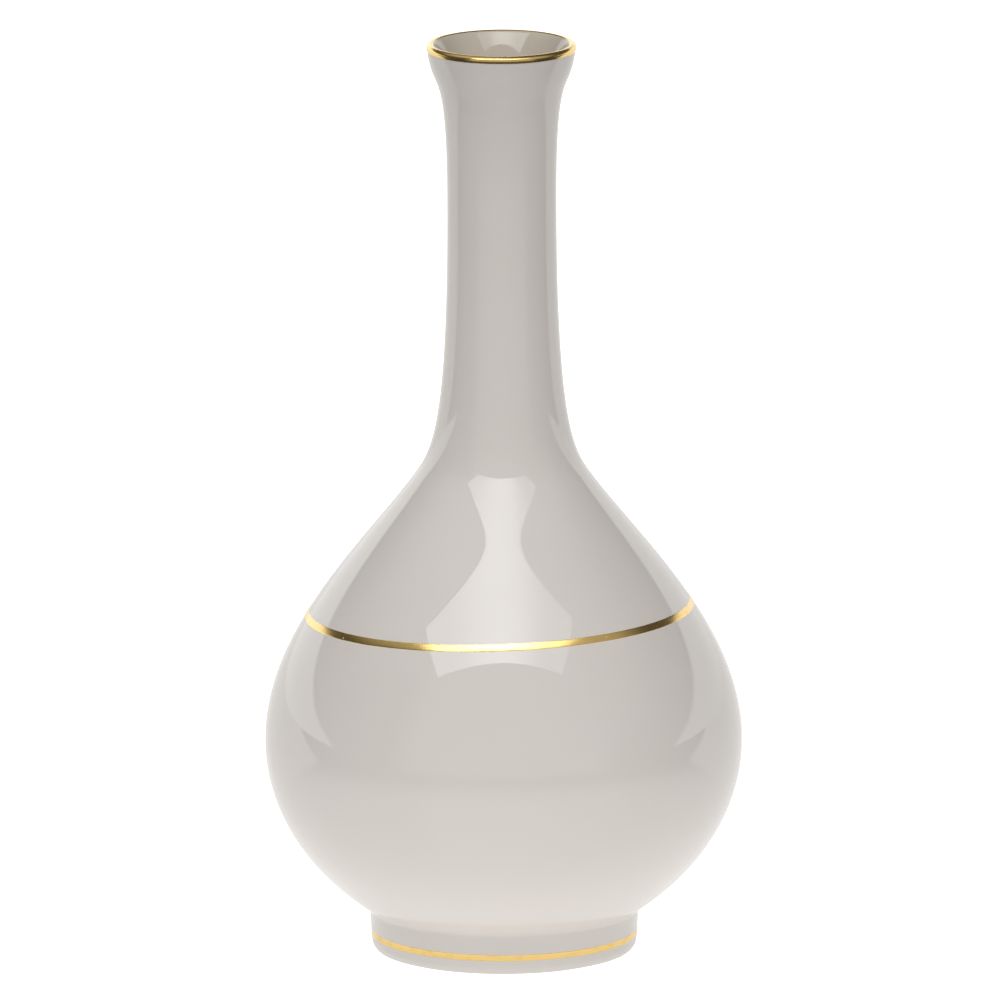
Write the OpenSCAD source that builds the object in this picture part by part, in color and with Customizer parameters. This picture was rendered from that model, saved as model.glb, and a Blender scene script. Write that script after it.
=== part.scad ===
// Porcelain bottle vase with a long neck, a round belly and a turned foot ring.
// The origin is on the resting plane, on the vase's axis, with +Z up.
// Every wall is drawn from three surface lines, which run round the half section
// with the porcelain on their left: outside, inside and underside.

/* [Overall] */
// Height from the resting plane to the top of the lip
height = 160; // [152:1:170]

/* [Foot] */
// Diameter of the foot ring, over its glaze
foot_d = 46.6; // [44:0.2:50]
// Height of the crease where the belly springs from the foot
foot_h = 7.4; // [7.2:0.1:8.6]
// How much narrower the foot is at its lower edge, on the radius
foot_taper = 0.3; // [0.1:0.05:0.5]
// Radius of the rounded lower edge
foot_edge_r = 2; // [1.2:0.1:2.2]
// Width of the bare ring that the vase stands on
rest_w = 1.6; // [1:0.1:1.8]
// Depth of the well under the floor
well_depth = 6; // [5:0.1:6.4]
// Diameter of the well, inside the foot ring
well_d = 37; // [34:0.2:37.2]
// How far the soft crease reaches along the foot and along the belly
crease_reach = 1.2; // [0.6:0.1:1.6]

/* [Belly] */
// Widest diameter of the belly
belly_d = 82.8; // [78:0.2:90]
// Height of the widest ring
belly_z = 37.2; // [35:0.2:40]
// Radius of the turn where the domed shoulder starts to sweep into the neck
turn_r = 15.3; // [14.4:0.1:17]
// Height of that turn
turn_z = 84; // [81:0.5:86]
// Steepness of the shoulder at that turn
turn_angle = 54.5; // [50:0.5:60]

/* [Neck and mouth] */
// Smallest outer diameter of the neck
neck_d = 18.9; // [18.4:0.1:21]
// Height of the smallest neck
neck_z = 132; // [126:1:138]
// Diameter of the lip
rim_d = 25.8; // [24:0.2:28]
// Thickness of the rounded lip
lip_t = 1.4; // [1.2:0.1:1.8]
// Steepness of the outside just under the lip
flare_angle = 83; // [76:1:85]

/* [Wall] */
// Thickness of the wall, glaze included
wall = 2.7; // [2.4:0.1:3]
// Height of the floor inside, above the resting plane
floor_z = 9.2; // [9:0.1:10]
// Diameter of the straight throat in the neck
throat_d = 14; // [13:0.1:14]
// Height where the straight throat starts
throat_z0 = 113; // [112:1:116]
// Height where the straight throat ends and the mouth opens
throat_z1 = 144; // [140:1:146]
// Height of the step in each seam between two sections
seam_step = 1; // [0.6:0.1:1.4]

/* [Glaze and gold] */
// Thickness of the glaze
glaze_t = 0.2; // [0.15:0.05:0.3]
// Thickness of the gold
gold_t = 0.05; // [0.04:0.01:0.1]
// Depth of the gilding down the outside of the lip
rim_gold_w = 1.1; // [1:0.1:2]
// Height of the shoulder line where it crosses the front
shoulder_line_z = 60.5; // [56:0.5:66]
// Height that the shoulder line covers
shoulder_line_h = 1.1; // [0.8:0.1:1.6]
// Lean of the shoulder line, lower on the -X side
shoulder_line_tilt = 1.8; // [0:0.1:2.5]
// Middle height of the foot line
foot_line_z = 3.3; // [3:0.1:4.2]
// Height of the foot line
foot_line_h = 1.1; // [0.8:0.1:1.4]

/* [Quality] */
// Bands along each long curve of the outline
curve_bands = 16; // [12:1:24]
// Bands round each small rounded edge
edge_bands = 6; // [4:1:8]
// Segments round the vase
$fn = 128; // [64:8:160]

/* [Hidden] */

reach = 60;            // past the widest radius
bare_h = 0.35;         // height of the unglazed edge round the resting ring
shoulder_band_h = 8;   // each way from the shoulder line, past its lean

foot_r = foot_d / 2;
foot_low_r = foot_r - foot_taper;
foot_edge_glazed_r = foot_edge_r + glaze_t;
foot_edge = [foot_low_r - foot_edge_glazed_r, foot_edge_r];
well_r = well_d / 2;
well_edge_glazed_r = foot_edge[0] - rest_w - well_r;
well_edge = [foot_edge[0] - rest_w, well_edge_glazed_r - glaze_t];
well_corner_r = 1.2;

belly_r = belly_d / 2;
neck_r = neck_d / 2;
throat_r = throat_d / 2;
lip_r = lip_t / 2;
lip_x = rim_d / 2 - lip_r;
lip_z = height - lip_r;

// Heights of the seams between the porcelain sections
foot_seam_z = well_depth + 0.6;
foot_boss_h = 2;       // how far the bowl's boss sits down inside the foot ring
belly_seam_z = belly_z;
neck_seam_z = turn_z + 4;
mouth_seam_z = throat_z1 + 2;

// Reaches of the curve handles, as lengths along the tangents
spring_angle = 33;     // rise of the belly where it leaves the foot
spring_reach = 15.5;
belly_reach_down = 10;
belly_reach_up = 19;
turn_reach_down = 14.2;
turn_reach_up = 5;
neck_reach_down = 39.6;
neck_reach_up = 25.5;
flare_reach = 8.8;
mouth_angle = 150;     // where the round of the lip ends inside the mouth
mouth_reach_down = 6;
mouth_reach_up = 4.5;
gilding_angle = 122;   // where the gilding ends, just past the crest of the lip
floor_flat_r = 12;
floor_reach = 7;
floor_pull = [2.2, 0.9];

glaze_white = [0.93, 0.92, 0.90];
bisque_white = [0.95, 0.94, 0.92];
gold_yellow = [0.83, 0.66, 0.30];

// Unit vector at an angle from the radius
function toward(a) = [cos(a), sin(a)];

// Points of a cubic curve after its first point a, with handles b and c, ending at d
function curve(a, b, c, d, n = curve_bands) = [
    for (i = [1:n]) let (t = i / n, s = 1 - t)
        s * s * s * a + 3 * s * s * t * b + 3 * s * t * t * c + t * t * t * d
];

// Points of an arc after its first point
function arc(centre, r, a0, a1, n = edge_bands) =
    [for (i = [1:n]) centre + r * toward(a0 + (a1 - a0) * i / n)];

// Right-hand unit normal of the step from a to b
function side(a, b) = let (d = b - a) [d[1], -d[0]] / norm(d);

// A line moved sideways by t, with mitred corners: plus is out of the porcelain
function shift(line, t) = let (last = len(line) - 1) [
    for (i = [0:last])
        let (n1 = side(line[max(i - 1, 0)], line[max(i, 1)]),
             n2 = side(line[min(i, last - 1)], line[min(i + 1, last)]))
        line[i] + t * (n1 + n2) / (1 + n1 * n2)
];

function reverse(line) = [for (i = [len(line) - 1:-1:0]) line[i]];

// The outside, from the resting ring up to the crest of the lip
spring = [foot_r, foot_h];
widest = [belly_r, belly_z];
turn = [turn_r, turn_z];
slimmest = [neck_r, neck_z];
lip = [lip_x, lip_z];
under_lip = lip + lip_r * toward(flare_angle - 90);

lower_belly = curve(spring, spring + spring_reach * toward(spring_angle),
                    widest - [0, belly_reach_down], widest);
upper_belly = curve(widest, widest + [0, belly_reach_up],
                    turn + turn_reach_down * toward(-turn_angle), turn);
neck_sweep = curve(turn, turn - turn_reach_up * toward(-turn_angle),
                   slimmest - [0, neck_reach_down], slimmest);
flare = curve(slimmest, slimmest + [0, neck_reach_up],
              under_lip - flare_reach * toward(flare_angle), under_lip);

// The crease rounds off the corner at the spring point
foot_top = spring - [0, crease_reach];
crease_end = spring + crease_reach * toward(spring_angle);
crease = curve(foot_top, spring, spring, crease_end, edge_bands);

outside = concat(
    [foot_edge - [0, foot_edge_glazed_r]],
    arc(foot_edge, foot_edge_glazed_r, -90, 0),
    [foot_top],
    crease,
    [for (p = lower_belly) if (p[0] > crease_end[0]) p],
    upper_belly,
    neck_sweep,
    flare,
    arc(lip, lip_r, flare_angle - 90, 90));

// The inside, from the crest of the lip down to the middle of the floor
mouth_edge = lip + lip_r * toward(mouth_angle);
mouth_end = [throat_r, throat_z1];
throat_end = [throat_r, throat_z0];
body = concat([spring], lower_belly, upper_belly, neck_sweep);
belly_lining = [for (p = reverse(shift(body, -wall))) if (p[1] < throat_z0 && p[0] > throat_r) p];
lining_foot = belly_lining[len(belly_lining) - 1];

inside = concat(
    [lip + [0, lip_r]],
    arc(lip, lip_r, 90, mouth_angle),
    curve(mouth_edge, mouth_edge + mouth_reach_up * toward(mouth_angle + 90),
          mouth_end + [0, mouth_reach_down], mouth_end),
    [throat_end],
    belly_lining,
    curve(lining_foot, lining_foot - floor_pull, [floor_flat_r + floor_reach, floor_z],
          [floor_flat_r, floor_z], edge_bands),
    [[0, floor_z]]);

// The underside, from the middle of the well down to the resting ring
well_corner = [well_r - well_corner_r, well_depth - well_corner_r];
underside = concat(
    [[0, well_depth], well_corner + [0, well_corner_r]],
    arc(well_corner, well_corner_r, 90, 0),
    [[well_r, well_edge[1]]],
    arc(well_edge, well_edge_glazed_r, 180, 270));

// Half section of all the porcelain: each line moved in by the glaze, which puts the
// bare ring between the outside and the underside on the resting plane
module porcelain_section() {
    polygon(concat(shift(outside, -glaze_t), shift(inside, -glaze_t), shift(underside, -glaze_t)));
}

// Half section of a coat of thickness t that lies on a line, or sinks into it if t is minus
module coat_section(line, t) {
    polygon(concat(line, reverse(shift(line, t))));
}

// Outside radius at a height
function radius_at(z) = [for (i = [1:len(outside) - 1])
    let (a = outside[i - 1], b = outside[i])
    if (a[1] <= z && b[1] > z) a[0] + (b[0] - a[0]) * (z - a[1]) / (b[1] - a[1])][0];

// All that lies over a stepped seam: z_in is its height inside radius r, and z_out beyond it
module over_step(r, z_in, z_out) {
    translate([0, z_in]) square([r, 2 * height]);
    translate([r, z_out]) square([reach, 2 * height]);
}

// The step of a seam in the wall stands up inside the wall's middle radius
module over_seam(z) {
    over_step(radius_at(z) - wall / 2, z + seam_step, z);
}

// The foot ring's outer edge stands up round the bowl's boss
module over_foot_seam() {
    over_step((well_r + foot_r) / 2, foot_seam_z - foot_boss_h, foot_seam_z);
}

module foot_ring() {
    color(bisque_white) rotate_extrude() difference() {
        porcelain_section();
        over_foot_seam();
    }
}

module belly_bowl() {
    color(bisque_white) rotate_extrude() difference() {
        intersection() {
            porcelain_section();
            over_foot_seam();
        }
        over_seam(belly_seam_z);
    }
}

module section_between(low_z, high_z) {
    color(bisque_white) rotate_extrude() difference() {
        intersection() {
            porcelain_section();
            over_seam(low_z);
        }
        over_seam(high_z);
    }
}

module shoulder_dome() {
    section_between(belly_seam_z, neck_seam_z);
}

module neck_tube() {
    section_between(neck_seam_z, mouth_seam_z);
}

module mouth_flare() {
    color(bisque_white) rotate_extrude() intersection() {
        porcelain_section();
        over_seam(mouth_seam_z);
    }
}

// Everything above the bare edge of the resting ring
module above_bare_edge() {
    translate([0, bare_h]) square([reach, 2 * height]);
}

module outer_glaze() {
    color(glaze_white) rotate_extrude() intersection() {
        coat_section(outside, -glaze_t);
        above_bare_edge();
    }
}

module inner_glaze() {
    color(glaze_white) rotate_extrude() coat_section(inside, -glaze_t);
}

module foot_well_glaze() {
    color(glaze_white) rotate_extrude() intersection() {
        coat_section(underside, -glaze_t);
        above_bare_edge();
    }
}

// The gilding wraps the outside of the lip and ends just past its crest
module rim_gilding() {
    lip_line = concat(flare, arc(lip, lip_r, flare_angle - 90, gilding_angle, 2 * edge_bands));
    color(gold_yellow) rotate_extrude() intersection() {
        coat_section(lip_line, gold_t);
        translate([0, height - rim_gold_w]) square([reach, height]);
    }
}

// A thin coat on the shoulder, cut to a line by a leaning slab
module shoulder_gold_line() {
    band = [for (p = upper_belly) if (abs(p[1] - shoulder_line_z) < shoulder_band_h) p];
    color(gold_yellow) intersection() {
        rotate_extrude() coat_section(band, gold_t);
        rotate([0, -shoulder_line_tilt, 0])
            translate([0, 0, shoulder_line_z - shoulder_line_h / 2])
                cylinder(h = shoulder_line_h, r = reach);
    }
}

module foot_gold_line() {
    color(gold_yellow) rotate_extrude() intersection() {
        coat_section([[foot_low_r, foot_edge_r], foot_top], gold_t);
        translate([0, foot_line_z - foot_line_h / 2]) square([reach, foot_line_h]);
    }
}

foot_ring();
belly_bowl();
shoulder_dome();
neck_tube();
mouth_flare();
outer_glaze();
inner_glaze();
foot_well_glaze();
rim_gilding();
shoulder_gold_line();
foot_gold_line();
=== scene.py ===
import math

import bmesh
import bpy
from bpy.props import FloatProperty, FloatVectorProperty, IntProperty, PointerProperty
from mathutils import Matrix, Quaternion, Vector


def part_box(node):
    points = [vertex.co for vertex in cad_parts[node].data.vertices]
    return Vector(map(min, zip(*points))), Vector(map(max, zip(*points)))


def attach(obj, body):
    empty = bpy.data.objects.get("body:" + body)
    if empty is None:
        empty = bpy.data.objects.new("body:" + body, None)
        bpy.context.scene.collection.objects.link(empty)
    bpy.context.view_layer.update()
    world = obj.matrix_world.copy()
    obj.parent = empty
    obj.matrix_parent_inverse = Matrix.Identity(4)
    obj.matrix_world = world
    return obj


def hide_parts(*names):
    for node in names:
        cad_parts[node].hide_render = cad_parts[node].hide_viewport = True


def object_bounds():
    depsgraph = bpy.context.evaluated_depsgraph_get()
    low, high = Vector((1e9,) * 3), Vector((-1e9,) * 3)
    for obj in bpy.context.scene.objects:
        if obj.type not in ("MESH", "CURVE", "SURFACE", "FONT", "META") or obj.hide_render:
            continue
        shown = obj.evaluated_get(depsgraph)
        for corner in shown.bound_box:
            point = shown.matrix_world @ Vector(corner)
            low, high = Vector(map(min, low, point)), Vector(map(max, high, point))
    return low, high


bl_info = {
    "name": "Porcelain Bottle Vase",
    "version": (1, 0, 0),
    "blender": (4, 5, 0),
    "location": "View3D > Sidebar > Vase",
    "description": "Makes a glazed and gilded porcelain bottle vase on its packed frame",
    "category": "Add Mesh",
}

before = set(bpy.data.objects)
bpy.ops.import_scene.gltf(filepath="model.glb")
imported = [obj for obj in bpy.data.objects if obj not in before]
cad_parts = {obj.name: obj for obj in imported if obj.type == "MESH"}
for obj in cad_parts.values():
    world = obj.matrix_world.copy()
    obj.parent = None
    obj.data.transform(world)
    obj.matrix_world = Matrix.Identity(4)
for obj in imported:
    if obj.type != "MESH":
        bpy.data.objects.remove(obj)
CAD_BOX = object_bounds()

MM = 0.001
BODY = "root"


# ---------------------------------------------------------------- sizes from the frame

def top_of(node):
    """Height of a node's top, in metres."""
    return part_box(node)[1].z


def bottom_of(node):
    """Height of a node's underside, in metres."""
    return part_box(node)[0].z


def radius_of(node):
    """Largest radius of a node, in metres."""
    return max(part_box(node)[1].x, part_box(node)[1].y)


GLAZE_T = top_of("outer_glaze") - top_of("mouth_flare")
GOLD_T = top_of("rim_gilding") - top_of("outer_glaze")
WELL_R = 18.5 * MM
REST_W = 1.6 * MM


class VaseSizes(bpy.types.PropertyGroup):
    """Sizes of the vase over its glaze."""

    height: FloatProperty(
        name="Height", description="From the resting plane to the top of the lip",
        default=top_of("outer_glaze"), unit="LENGTH")
    belly_radius: FloatProperty(
        name="Belly radius", description="Widest radius of the belly",
        default=radius_of("outer_glaze"), unit="LENGTH")
    belly_height: FloatProperty(
        name="Belly height", description="Height of the widest ring",
        default=bottom_of("shoulder_dome"), unit="LENGTH")
    turn_radius: FloatProperty(
        name="Turn radius", description="Radius where the shoulder starts to sweep into the neck",
        default=15.3 * MM, unit="LENGTH")
    turn_height: FloatProperty(
        name="Turn height", description="Height of that turn",
        default=bottom_of("neck_tube") - 4 * MM, unit="LENGTH")
    turn_angle: FloatProperty(
        name="Turn angle", description="Steepness of the shoulder at the turn",
        default=math.radians(54.5), subtype="ANGLE")
    neck_radius: FloatProperty(
        name="Neck radius", description="Smallest radius of the neck",
        default=9.45 * MM, unit="LENGTH")
    neck_height: FloatProperty(
        name="Neck height", description="Height of the smallest neck",
        default=132 * MM, unit="LENGTH")
    rim_radius: FloatProperty(
        name="Lip radius", description="Largest radius of the lip",
        default=radius_of("rim_gilding") - GOLD_T, unit="LENGTH")
    lip_thickness: FloatProperty(
        name="Lip thickness", description="Thickness of the rounded lip",
        default=1.4 * MM, unit="LENGTH")
    flare_angle: FloatProperty(
        name="Flare angle", description="Steepness of the outside under the lip",
        default=math.radians(83), subtype="ANGLE")
    foot_radius: FloatProperty(
        name="Foot radius", description="Radius of the foot ring at its crease",
        default=23.3 * MM, unit="LENGTH")
    foot_height: FloatProperty(
        name="Foot height", description="Height of the crease above the foot ring",
        default=7.4 * MM, unit="LENGTH")
    wall: FloatProperty(
        name="Wall", description="Thickness of the wall with its glaze",
        default=2.7 * MM, unit="LENGTH")
    floor_height: FloatProperty(
        name="Floor height", description="Height of the floor inside",
        default=bottom_of("inner_glaze") + GLAZE_T, unit="LENGTH")
    well_depth: FloatProperty(
        name="Well depth", description="Depth of the well under the floor",
        default=top_of("foot_well_glaze") - GLAZE_T, unit="LENGTH")
    segments: IntProperty(
        name="Segments", description="Segments round the glaze", default=264, min=32, max=360)


class GoldSizes(bpy.types.PropertyGroup):
    """Sizes of the gold."""

    rim_depth: FloatProperty(
        name="Rim depth", description="How far the gilding comes down the outside of the lip",
        default=top_of("outer_glaze") - bottom_of("rim_gilding"), unit="LENGTH")
    shoulder_height: FloatProperty(
        name="Shoulder line height", description="Height of the shoulder line at the front",
        default=(top_of("shoulder_gold_line") + bottom_of("shoulder_gold_line")) / 2, unit="LENGTH")
    shoulder_width: FloatProperty(
        name="Shoulder line width", description="Height that the shoulder line covers",
        default=1.1 * MM, unit="LENGTH")
    shoulder_lean: FloatProperty(
        name="Shoulder line lean", description="Slope of the shoulder line, up towards +X",
        default=math.radians(1.8), subtype="ANGLE")
    foot_height: FloatProperty(
        name="Foot line height", description="Middle height of the foot line",
        default=(top_of("foot_gold_line") + bottom_of("foot_gold_line")) / 2, unit="LENGTH")
    foot_width: FloatProperty(
        name="Foot line width", description="Height that the foot line covers",
        default=top_of("foot_gold_line") - bottom_of("foot_gold_line"), unit="LENGTH")
    waver: FloatProperty(
        name="Waver", description="How far the brush strays at the edges of a line",
        default=0.05 * MM, unit="LENGTH")


class VaseColours(bpy.types.PropertyGroup):
    """Colours of the vase's finishes."""

    glaze: FloatVectorProperty(
        name="Glaze", description="Warm white of the glazed porcelain",
        subtype="COLOR", size=3, min=0, max=1, default=(0.85, 0.81, 0.775))
    # Lining colour: the glaze darkened and warmed as painted shade inside the hollow of the vase.
    lining: FloatVectorProperty(
        name="Lining", description="Thinner, warmer glaze inside the vase",
        subtype="COLOR", size=3, min=0, max=1, default=(0.66, 0.60, 0.52))
    bisque: FloatVectorProperty(
        name="Bisque", description="Bare fired porcelain",
        subtype="COLOR", size=3, min=0, max=1, default=(0.80, 0.775, 0.73))
    gold: FloatVectorProperty(
        name="Gold", description="Fired gold",
        subtype="COLOR", size=3, min=0, max=1, default=(0.93, 0.66, 0.25))


class StudioSizes(bpy.types.PropertyGroup):
    """The camera and the light."""

    camera_rise: FloatProperty(
        name="Camera rise", description="How far above the horizon the camera stands",
        default=math.radians(12), subtype="ANGLE")
    camera_distance: FloatProperty(
        name="Camera distance", description="From the camera to the vase",
        default=5.0, unit="LENGTH")
    camera_roll: FloatProperty(
        name="Camera roll", description="How far the camera leans to its right",
        default=math.radians(-0.2), subtype="ANGLE")
    picture_width: FloatProperty(
        name="Picture width", description="Width of the view at the vase, in heights of the vase",
        default=1.0823)


# ---------------------------------------------------------------- lines of the half section

# Reaches of the curve handles, as lengths along the tangents
SPRING_ANGLE = math.radians(33)
SPRING_REACH = 15.5 * MM
BELLY_REACH_DOWN = 10 * MM
BELLY_REACH_UP = 19 * MM
TURN_REACH_DOWN = 14.2 * MM
TURN_REACH_UP = 5 * MM
NECK_REACH_DOWN = 39.6 * MM
NECK_REACH_UP = 25.5 * MM
FLARE_REACH = 8.8 * MM
MOUTH_ANGLE = math.radians(150)
MOUTH_REACH_DOWN = 6 * MM
MOUTH_REACH_UP = 4.5 * MM
GILDING_ANGLE = math.radians(122)
FLOOR_FLAT_R = 12 * MM
FLOOR_REACH = 7 * MM
FLOOR_PULL = Vector((2.2 * MM, 0.9 * MM))

THROAT_R = 7 * MM
THROAT_LOW = 113 * MM
THROAT_TOP = 144 * MM
FOOT_TAPER = 0.3 * MM
FOOT_EDGE_R = 2 * MM
WELL_CORNER_R = 1.2 * MM
BARE_HEIGHT = bottom_of("outer_glaze")
CREASE = 1.2 * MM
SEAM_STEP = 1 * MM
FOOT_SEAM = top_of("foot_ring")
FOOT_BOSS = 2 * MM

CURVE_BANDS = 52
EDGE_BANDS = 12
HIDDEN_STEP = 4


def toward(angle):
    """Unit vector at an angle from the radius."""
    return Vector((math.cos(angle), math.sin(angle)))


def curve(a, b, c, d, bands=CURVE_BANDS):
    """Points of a cubic curve after its first point, with handles b and c."""
    points = []
    for i in range(1, bands + 1):
        t = i / bands
        s = 1 - t
        points.append(s ** 3 * a + 3 * s * s * t * b + 3 * s * t * t * c + t ** 3 * d)
    return points


def arc(centre, radius, start, end, bands=EDGE_BANDS):
    """Points of an arc after its first point."""
    return [centre + radius * toward(start + (end - start) * i / bands) for i in range(1, bands + 1)]


def side(a, b):
    """Unit normal on the right of the step from a to b."""
    step = (b - a).normalized()
    return Vector((step.y, -step.x))


def shift(line, distance):
    """A line moved sideways with mitred corners: plus is out of the porcelain."""
    last = len(line) - 1
    moved = []
    for i, point in enumerate(line):
        before = side(line[max(i - 1, 0)], line[max(i, 1)])
        after = side(line[min(i, last - 1)], line[min(i + 1, last)])
        moved.append(point + distance * (before + after) / (1 + before.dot(after)))
    return moved


def at_height(a, b, height):
    """The point between a and b at a height."""
    return a + (b - a) * (height - a.y) / (b.y - a.y)


def between(line, low, high):
    """The stretch of a rising or falling line between two heights, with exact ends."""
    points = []
    for i, point in enumerate(line):
        if i:
            before = line[i - 1]
            crossings = [h for h in (low, high) if (before.y - h) * (point.y - h) < 0]
            crossings.sort(reverse=point.y < before.y)
            points += [at_height(before, point, h) for h in crossings]
        if low <= point.y <= high:
            points.append(point)
    return points


def thinned(line):
    """A line with only every few of its points, and its ends."""
    return line[:-1:HIDDEN_STEP] + line[-1:]


class HalfSection:
    """The three surface lines of the wall, which run with the porcelain on their left."""

    def __init__(self, sizes):
        self.sizes = sizes
        lip_r = sizes.lip_thickness / 2
        self.lip = Vector((sizes.rim_radius - lip_r, sizes.height - lip_r))
        self.lip_r = lip_r
        foot_low = sizes.foot_radius - FOOT_TAPER
        self.edge_r = FOOT_EDGE_R + GLAZE_T
        self.edge = Vector((foot_low - self.edge_r, FOOT_EDGE_R))
        self.draw_outside(sizes)
        self.draw_inside(sizes)
        self.draw_underside(sizes)

    def draw_outside(self, sizes):
        """From the resting ring up to the crest of the lip."""
        spring = Vector((sizes.foot_radius, sizes.foot_height))
        widest = Vector((sizes.belly_radius, sizes.belly_height))
        turn = Vector((sizes.turn_radius, sizes.turn_height))
        slimmest = Vector((sizes.neck_radius, sizes.neck_height))
        down_slope = toward(-sizes.turn_angle)
        under_lip = self.lip + self.lip_r * toward(sizes.flare_angle - math.pi / 2)
        up = Vector((0, 1))
        belly_low = curve(spring, spring + SPRING_REACH * toward(SPRING_ANGLE),
                          widest - BELLY_REACH_DOWN * up, widest)
        belly_high = curve(widest, widest + BELLY_REACH_UP * up,
                           turn + TURN_REACH_DOWN * down_slope, turn)
        sweep = curve(turn, turn - TURN_REACH_UP * down_slope,
                      slimmest - NECK_REACH_DOWN * up, slimmest)
        flare = curve(slimmest, slimmest + NECK_REACH_UP * up,
                      under_lip - FLARE_REACH * toward(sizes.flare_angle), under_lip)
        self.body = [spring] + belly_low + belly_high + sweep
        self.flare = flare
        foot_wall_top = spring - Vector((0, CREASE))
        past_crease = spring + CREASE * toward(SPRING_ANGLE)
        crease = curve(foot_wall_top, spring, spring, past_crease, EDGE_BANDS // 2)
        belly_past_crease = [p for p in belly_low if p.x > past_crease.x]
        self.outside = (
            [self.edge - Vector((0, self.edge_r))]
            + arc(self.edge, self.edge_r, -math.pi / 2, 0)
            + [foot_wall_top] + crease + belly_past_crease
            + belly_high + sweep + flare
            + arc(self.lip, self.lip_r, sizes.flare_angle - math.pi / 2, math.pi / 2))

    def draw_inside(self, sizes):
        """From the crest of the lip down to the middle of the floor."""
        mouth_edge = self.lip + self.lip_r * toward(MOUTH_ANGLE)
        mouth_end = Vector((THROAT_R, THROAT_TOP))
        lining = [p for p in reversed(shift(self.body, -sizes.wall))
                  if p.y < THROAT_LOW and p.x > THROAT_R]
        lining_foot = lining[-1]
        mouth = curve(mouth_edge, mouth_edge + MOUTH_REACH_UP * toward(MOUTH_ANGLE + math.pi / 2),
                      mouth_end + Vector((0, MOUTH_REACH_DOWN)), mouth_end)
        floor = curve(lining_foot, lining_foot - FLOOR_PULL,
                      Vector((FLOOR_FLAT_R + FLOOR_REACH, sizes.floor_height)),
                      Vector((FLOOR_FLAT_R, sizes.floor_height)), EDGE_BANDS)
        self.lip_inside = arc(self.lip, self.lip_r, math.pi / 2, MOUTH_ANGLE)
        self.inside = (
            [self.lip + Vector((0, self.lip_r))] + self.lip_inside + mouth
            + [Vector((THROAT_R, THROAT_LOW))] + lining + floor
            + [Vector((0, sizes.floor_height))])

    def draw_underside(self, sizes):
        """From the middle of the well down to the resting ring."""
        corner = Vector((WELL_R - WELL_CORNER_R, sizes.well_depth - WELL_CORNER_R))
        low_edge_x = self.edge.x - REST_W
        low_edge_r = low_edge_x - WELL_R
        low_edge = Vector((low_edge_x, low_edge_r - GLAZE_T))
        self.underside = (
            [Vector((0, sizes.well_depth)), corner + Vector((0, WELL_CORNER_R))]
            + arc(corner, WELL_CORNER_R, math.pi / 2, 0)
            + [Vector((WELL_R, low_edge.y))]
            + arc(low_edge, low_edge_r, math.pi, 1.5 * math.pi))

    def coat(self, line):
        """Closed outline of the glaze coat under a surface line."""
        return line + thinned(list(reversed(shift(line, -GLAZE_T))))

    def film(self, line):
        """Closed outline of a film of gold on a surface line."""
        return list(reversed(line)) + shift(line, GOLD_T)

    def section(self, low, high):
        """Closed outline of the porcelain between two stepped seams in the wall."""
        outer = shift(self.outside, -GLAZE_T)
        inner = shift(self.inside, -GLAZE_T)
        outline = thinned(between(outer, low, high))
        if high >= self.sizes.height:
            outline += thinned(between(inner, low + SEAM_STEP, high))
        else:
            middle = self.wall_middle(high)
            outline += [Vector((middle, high)), Vector((middle, high + SEAM_STEP))]
            outline += thinned(between(inner, low + SEAM_STEP, high + SEAM_STEP))
        if low > FOOT_SEAM:
            middle = self.wall_middle(low)
            outline += [Vector((middle, low + SEAM_STEP)), Vector((middle, low))]
        return outline

    def wall_middle(self, height):
        """Radius of the middle of the wall at a height."""
        return between(self.outside, height, height)[0].x - self.sizes.wall / 2

    def bowl(self, high):
        """Closed outline of the belly bowl, with its floor and its boss in the foot ring."""
        middle = self.wall_middle(high)
        boss_r = (WELL_R + self.sizes.foot_radius) / 2
        boss_low = FOOT_SEAM - FOOT_BOSS
        outer = thinned(between(shift(self.outside, -GLAZE_T), FOOT_SEAM, high))
        inner = between(shift(self.inside, -GLAZE_T), 0, high + SEAM_STEP)
        well = between(shift(self.underside, -GLAZE_T), boss_low, self.sizes.height)
        return (outer + [Vector((middle, high)), Vector((middle, high + SEAM_STEP))]
                + thinned(inner) + well
                + [Vector((boss_r, boss_low)), Vector((boss_r, FOOT_SEAM))])

    def foot(self):
        """Closed outline of the foot ring."""
        boss_r = (WELL_R + self.sizes.foot_radius) / 2
        boss_low = FOOT_SEAM - FOOT_BOSS
        outer = between(shift(self.outside, -GLAZE_T), 0, FOOT_SEAM)
        well = between(shift(self.underside, -GLAZE_T), 0, boss_low)
        return outer + [Vector((boss_r, FOOT_SEAM)), Vector((boss_r, boss_low))] + well


# ---------------------------------------------------------------- node helpers

def put(tree, kind, inputs=None, **settings):
    """Adds a node, sets its settings, and sets or links its inputs."""
    made = tree.nodes.new(kind)
    for name, value in settings.items():
        setattr(made, name, value)
    for key, value in (inputs or {}).items():
        if isinstance(value, bpy.types.NodeSocket):
            tree.links.new(value, made.inputs[key])
        else:
            made.inputs[key].default_value = value
    return made


def sums(tree):
    """A short way to write math nodes in a shader or geometry tree."""
    def calc(operation, *values):
        return put(tree, "ShaderNodeMath", dict(enumerate(values)), operation=operation).outputs[0]
    return calc


def noise(tree, place, scale, detail, **settings):
    """A noise pattern at a place."""
    return put(tree, "ShaderNodeTexNoise", {"Vector": place, "Scale": scale, "Detail": detail},
               **settings)


def group_socket(tree, name, kind, value=None, way="INPUT"):
    """Adds a named input or output to a node group."""
    socket = tree.interface.new_socket(name=name, in_out=way, socket_type=kind)
    if value is not None:
        socket.default_value = value
    return socket


# ---------------------------------------------------------------- geometry trees

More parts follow.
